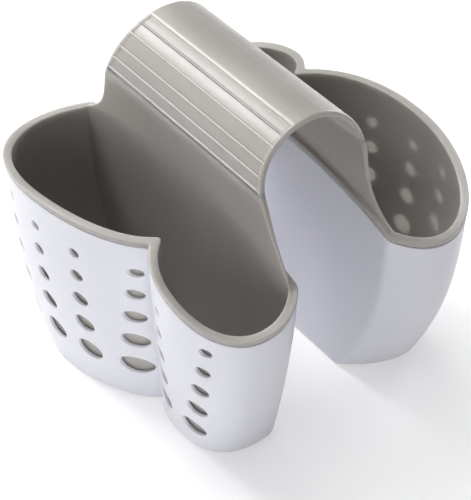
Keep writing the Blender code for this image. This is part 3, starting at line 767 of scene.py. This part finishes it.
# Angles are in degrees from the crown's middle, and below 0 on the left
RIB_ANGLES = (-77.4, -65.6, -53.4, -38.0, -25.4)
STEP_ANGLES = (-12.9, 49.5)
RIGHT_RIB_ANGLES = (64.9, 77.9)
FAINT_LINE_ANGLE = 18.6
FAINT_LINE_REACH = 1.2
FAINT_LINE_RISE = 0.00006
# Degrees from a rib's or a step's middle, and dip there as a share of the rib depth
RIB_PROFILE = ((-1.5, 1.0), (-0.85, 0.95), (-0.55, 0.10), (0.0, -0.15),
               (0.55, 0.10), (0.85, 0.95), (1.5, 1.0))
STEP_PROFILE = ((-2.2, 0.0), (-0.6, 0.08), (0.8, 0.35), (1.9, 0.85), (2.3, 1.05), (3.4, 1.0))
FLAT_REACH = 4.4
FLAT_ANGLES = (-73.5, -19.0, 60.5, 69.3, 73.5)
PLAIN_ANGLES = (-6.5, -2, 3, 8, 13, 24, 29, 34, 39, 44, 47.5)
# Past this angle the dips ease to the seam's
SEAM_EASE_ANGLE = 78.1

# Colour scale over the ribbed face: a slight darkening everywhere, broad painted highlight bands on
# the left flank, and narrow lines of painted highlight on the rib crests, the steps' edges and the
# faint line, and of painted shade in the creases at the ribs' feet and beside the rib nearest the
# crown. Each: middle, half width in degrees, strength
BASE_TINT = -0.05
PAINTED_HIGHLIGHT_BANDS = ((-44, 31, 0.13), (-27, 9, 0.10))
PAINTED_HIGHLIGHT_AND_SHADE_LINES = [(FAINT_LINE_ANGLE, 0.6, 0.12)]
PAINTED_HIGHLIGHT_AND_SHADE_LINES += [(centre, 0.6, 0.45) for centre in RIB_ANGLES[:-1] + RIGHT_RIB_ANGLES]
PAINTED_HIGHLIGHT_AND_SHADE_LINES += [(centre + 1.15, 0.4, -0.35) for centre in RIB_ANGLES[1:-1] + RIGHT_RIB_ANGLES[:1]]
PAINTED_HIGHLIGHT_AND_SHADE_LINES += [(centre, 0.9, 0.50) for centre in (STEP_ANGLES[0] - 0.6, STEP_ANGLES[1] - 1.2)]
PAINTED_HIGHLIGHT_AND_SHADE_LINES += [(RIB_ANGLES[-1] + shift, 0.4, -0.40) for shift in (-1.0, 0.9)]
RIBBED_FACE_SHARE = 0.95
TINT_END_SHARE = RIB_END_SHARE + 0.005


def rib_rows(centre):
    """Angles and dips of the rows over one rib: up its side, over its round top and down again."""
    rows = [(centre + turn, RIB_DEPTH * dip) for turn, dip in RIB_PROFILE]
    return [(turn, min(dip, SEAM_DIP) if abs(turn) > SEAM_EASE_ANGLE else dip)
            for turn, dip in rows]


def step_rows(centre, side):
    """Angles and dips of the rows over the rounded step from the plain band down to the ribs."""
    return [(centre + side * turn, RIB_DEPTH * dip) for turn, dip in STEP_PROFILE]


def saddle_crown(name):
    """Loops round the strap at every row of its ribs, steps and plain band, from seam to seam."""
    rows = []
    for centre in RIB_ANGLES + RIGHT_RIB_ANGLES:
        rows += rib_rows(centre)
    rows += step_rows(STEP_ANGLES[0], -1) + step_rows(STEP_ANGLES[1], 1)
    rows += [(centre + half * FLAT_REACH, RIB_DEPTH)
             for centre in RIB_ANGLES[1:] for half in (-1, 1)]
    rows += [(angle, RIB_DEPTH) for angle in FLAT_ANGLES]
    rows += [(angle, 0.0) for angle in PLAIN_ANGLES]
    rows += [(FAINT_LINE_ANGLE + half * FAINT_LINE_REACH, 0.0) for half in (-1, 1)]
    rows += [(FAINT_LINE_ANGLE, -FAINT_LINE_RISE)]
    rows += [(-SEAM_DEGREES, SEAM_DIP), (SEAM_DEGREES, SEAM_DIP)]
    rows.sort()
    rings = [arch_ring(degrees, dip) for degrees, dip in rows]
    points = np.concatenate(rings)
    size = len(rings[0])
    loops = [size * number + np.arange(size) for number in range(len(rings))]
    faces = []
    for lower, upper in zip(loops, loops[1:]):
        faces += ring_faces(lower, upper).tolist()
    faces += [loops[0].tolist(), loops[-1].tolist()]
    return smooth_solid(name, points, faces, [loops[0].tolist(), loops[-1].tolist()])


def bump_at(turn, centre, width):
    """1 / (1 + ((turn - centre) / width) ** 4): a flat-topped bump round one angle."""
    return 1 / (1 + ((turn - centre) / width) ** 4)


def paint_light_and_shade_on_crown(piece):
    """Write the attribute that scales the crown's colour: painted highlights on the crests and
    steps, painted shade in the creases at the ribs' feet.

    The base tint plus each strength * bump at the point's angle, and 0 off the ribbed face.
    """
    places = np.empty(len(piece.data.vertices) * 3)
    piece.data.vertices.foreach_get("co", places)
    x, y, z = places.reshape(-1, 3).T
    across = x / (STRAP_INNER + STRAP_THICKNESS)
    up = (z - STRAP_BASE) / (STRAP_RISE + STRAP_THICKNESS)
    turn = np.degrees(np.arctan2(across, up))
    tint = BASE_TINT + 0 * turn
    for centre, width, strength in (*PAINTED_HIGHLIGHT_BANDS, *PAINTED_HIGHLIGHT_AND_SHADE_LINES):
        tint += strength * bump_at(turn, centre, width)
    reach = strap_reach(STRAP_ARCH_SHARE * np.abs(turn) / 90, y * turn < 0)
    ribbed = (np.hypot(across, up) > RIBBED_FACE_SHARE) & (np.abs(y) < reach * TINT_END_SHARE)
    painted_light_and_shade = piece.data.attributes.new("painted_light_and_shade", "FLOAT", "POINT")
    painted_light_and_shade.data.foreach_set("value", np.where(ribbed, tint, 0.0))


def tint_by_painted_light(material):
    """Scale the colour by 1 + the painted highlight and shade attribute, which a piece without it
    reads as 0.
    """
    nodes, links = material.node_tree.nodes, material.node_tree.links
    colour = nodes["Principled BSDF"].inputs["Base Color"]
    painted_light_and_shade = nodes.new("ShaderNodeAttribute")
    painted_light_and_shade.attribute_name = "painted_light_and_shade"
    shade = nodes.new("ShaderNodeMath")
    shade.operation = "ADD"
    shade.inputs[1].default_value = 1.0
    scaled = nodes.new("ShaderNodeVectorMath")
    scaled.operation = "SCALE"
    links.new(painted_light_and_shade.outputs["Fac"], shade.inputs[0])
    links.new(colour.links[0].from_socket, scaled.inputs[0])
    links.new(shade.outputs[0], scaled.inputs["Scale"])
    links.new(scaled.outputs["Vector"], colour)


# The crown's colour carries painted highlights on its crests and steps and painted shade in its
# creases.
crown = saddle_crown("grey_saddle_crown")
paint_light_and_shade_on_crown(crown)
tint_by_painted_light(elastomer)
crown.data.materials.append(elastomer)
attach(crown, "saddle")
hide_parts("saddle_crown")


# Floor, light and camera
# A plain white floor under soft square lamps, with most of the light from above and behind.
# The floor's paleness is its own colour and a lift that only camera, mirror and glass rays see.

FLOOR_SIZE = 6.0
FLOOR_LEVEL = -0.0001
FLOOR_WHITE = (0.75, 0.75, 0.755, 1.0)
FLOOR_ROUGHNESS = 0.6
FLOOR_LIFT = 0.38
AIR_COLOUR = (0.94, 0.96, 1.0, 1.0)
AIR_STRENGTH = 0.06
# Each lamp: name, place, width and power
LAMPS = (
    ("high_rear_softbox", (0.0, 0.80, 1.00), 1.00, 7.0),
    ("overhead_softbox", (0.0, 0.20, 1.20), 1.10, 6.8),
    ("crown_softbox", (-0.23, 0.69, 0.92), 0.30, 5.2),
    ("rear_left_softbox", (-0.80, 0.72, 0.32), 0.50, 0.5),
    ("left_softbox", (-1.00, 0.15, 0.14), 0.40, 2.4),
    ("front_left_fill", (-0.55, -0.90, 0.30), 0.60, 3.4),
    ("right_softbox", (1.00, 0.25, 0.22), 0.50, 4.2),
)
LAMP_TARGET = (0, 0, 0.08)
CAMERA_PLACE = (-0.25216, -0.32277, 0.46022)
CAMERA_DOWN = 0.7926
CAMERA_TURN = 0.6717
CAMERA_LENS = 99.18
CAMERA_SHIFT = (-0.01124, 0.01252)

bpy.ops.mesh.primitive_plane_add(size=FLOOR_SIZE, location=(0, 0, FLOOR_LEVEL))
floor = bpy.context.object
floor.name = "white_floor"
floor_white = bpy.data.materials.new("white_floor_paint")
floor_white.use_nodes = True
floor_nodes, floor_links = floor_white.node_tree.nodes, floor_white.node_tree.links
floor_shader = floor_nodes["Principled BSDF"]
floor_shader.inputs["Base Color"].default_value = FLOOR_WHITE
floor_shader.inputs["Roughness"].default_value = FLOOR_ROUGHNESS
floor_shader.inputs["Emission Color"].default_value = (1.0, 1.0, 1.0, 1.0)
ray = floor_nodes.new("ShaderNodeLightPath")
seen = floor_nodes.new("ShaderNodeMath")
seen.operation = "MAXIMUM"
floor_links.new(ray.outputs["Is Camera Ray"], seen.inputs[0])
mirrored = floor_nodes.new("ShaderNodeMath")
mirrored.operation = "MAXIMUM"
floor_links.new(ray.outputs["Is Glossy Ray"], mirrored.inputs[0])
floor_links.new(ray.outputs["Is Transmission Ray"], mirrored.inputs[1])
floor_links.new(mirrored.outputs[0], seen.inputs[1])
lift = floor_nodes.new("ShaderNodeMath")
lift.operation = "MULTIPLY"
lift.inputs[1].default_value = FLOOR_LIFT
floor_links.new(seen.outputs[0], lift.inputs[0])
floor_links.new(lift.outputs[0], floor_shader.inputs["Emission Strength"])
floor.data.materials.append(floor_white)

world = bpy.data.worlds.new("studio_air")
bpy.context.scene.world = world
world.use_nodes = True
background = world.node_tree.nodes["Background"]
background.inputs["Color"].default_value = AIR_COLOUR
background.inputs["Strength"].default_value = AIR_STRENGTH

for name, place, width, power in LAMPS:
    lamp_data = bpy.data.lights.new(name, "AREA")
    lamp_data.shape = "SQUARE"
    lamp_data.size = width
    lamp_data.energy = power
    lamp = bpy.data.objects.new(name, lamp_data)
    bpy.context.scene.collection.objects.link(lamp)
    lamp.location = place
    away = np.array(place) - LAMP_TARGET
    lamp.rotation_euler = (math.atan2(math.hypot(away[0], away[1]), away[2]), 0,
                           math.atan2(away[1], away[0]) + math.pi / 2)

camera_data = bpy.data.cameras.new("camera")
camera_data.sensor_width = 36.0
camera_data.lens = CAMERA_LENS
camera_data.shift_x, camera_data.shift_y = CAMERA_SHIFT
camera_data.clip_start = 0.01
camera = bpy.data.objects.new("camera", camera_data)
bpy.context.scene.collection.objects.link(camera)
camera.location = CAMERA_PLACE
camera.rotation_euler = (math.pi / 2 - CAMERA_DOWN, 0, -CAMERA_TURN)
bpy.context.scene.camera = camera
bpy.context.scene.view_settings.view_transform = "Standard"
